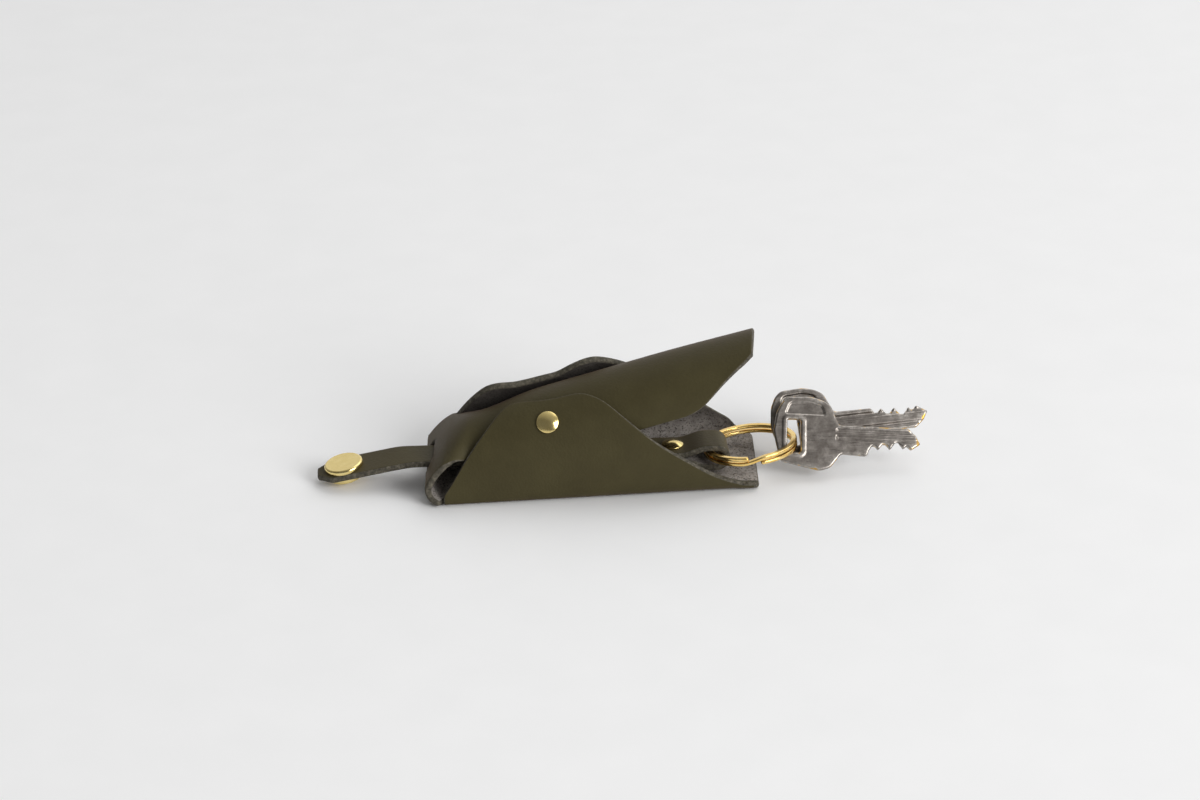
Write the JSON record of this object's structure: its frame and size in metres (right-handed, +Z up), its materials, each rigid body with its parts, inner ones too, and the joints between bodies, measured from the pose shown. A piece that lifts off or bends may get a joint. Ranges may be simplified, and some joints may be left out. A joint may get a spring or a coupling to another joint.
{
  "type": "leather key case",
  "caption": "Bell-shaped folded leather case with a strap that draws a split ring and keys in through its open mouth.",
  "frame": {"origin": "middle of the base's underside, between the folded end and the mouth", "axes": "+X along the case out of its mouth, +Y to the back wing, +Z up from the surface it lies on"},
  "size_m": [0.1966, 0.0428, 0.0459],
  "materials": {
    "leather": "matt, dark olive, smooth grain side",
    "cap_brass": "polished pale brass",
    "ring_brass": "polished warm brass",
    "key_nickel": "worn nickel plate over brass"
  },
  "bodies": {
    "case": {"base_panel": "leather", "end_wall": "leather", "top_flap": "leather", "front_wing": "leather", "back_wing": "leather", "front_rivet_cap": "cap_brass", "front_rivet_post": "cap_brass", "back_rivet_cap": "cap_brass", "back_rivet_post": "cap_brass"},
    "flap_tip": {"top_flap_tip": "leather"},
    "strap": {"strap": "leather", "loop_rivet_cap": "cap_brass", "loop_rivet_post": "cap_brass", "snap_stud": "cap_brass", "snap_stud_post": "cap_brass"},
    "tab": {"strap_tab": "leather", "snap_cap": "cap_brass", "snap_socket": "cap_brass"},
    "ring": {"split_ring": "ring_brass"},
    "front_key": {"key_front": "key_nickel"},
    "rear_key": {"key_rear": "key_nickel"}
  },
  "joints": [
    {"name": "strap_slide", "type": "slide", "parent": "case", "child": "strap", "axis": [-0.9992, 0.0401, 0], "range_m": [0, 0.064]},
    {"name": "flap_flex", "type": "hinge", "parent": "case", "child": "flap_tip", "pos_m": [0.0153, 0, 0.0212], "axis": [0, -1, 0], "range_deg": [-10, 0], "stiffness_Nm_per_rad": 0.3},
    {"name": "tab_flex", "type": "hinge", "parent": "strap", "child": "tab", "pos_m": [-0.05929, 0.00038, 0.0092], "axis": [0.0401, 0.9992, 0], "range_deg": [0, 80]},
    {"name": "ring_swing", "type": "hinge", "parent": "strap", "child": "ring", "pos_m": [0.03693, -0.00359, 0.00705], "axis": [-0.0526, -0.9912, 0.1212], "range_deg": [-3.5, 3.5]},
    {"name": "front_key_swing", "type": "hinge", "parent": "ring", "child": "front_key", "pos_m": [0.06418, -0.0083, 0.01038], "axis": [-0.308, -0.9471, 0.09], "range_deg": [-1.5, 14]},
    {"name": "rear_key_swing", "type": "hinge", "parent": "ring", "child": "rear_key", "pos_m": [0.06479, -0.00253, 0.0097], "axis": [0.1035, -0.9853, 0.1361], "range_deg": [-2.5, 16]}
  ]
}
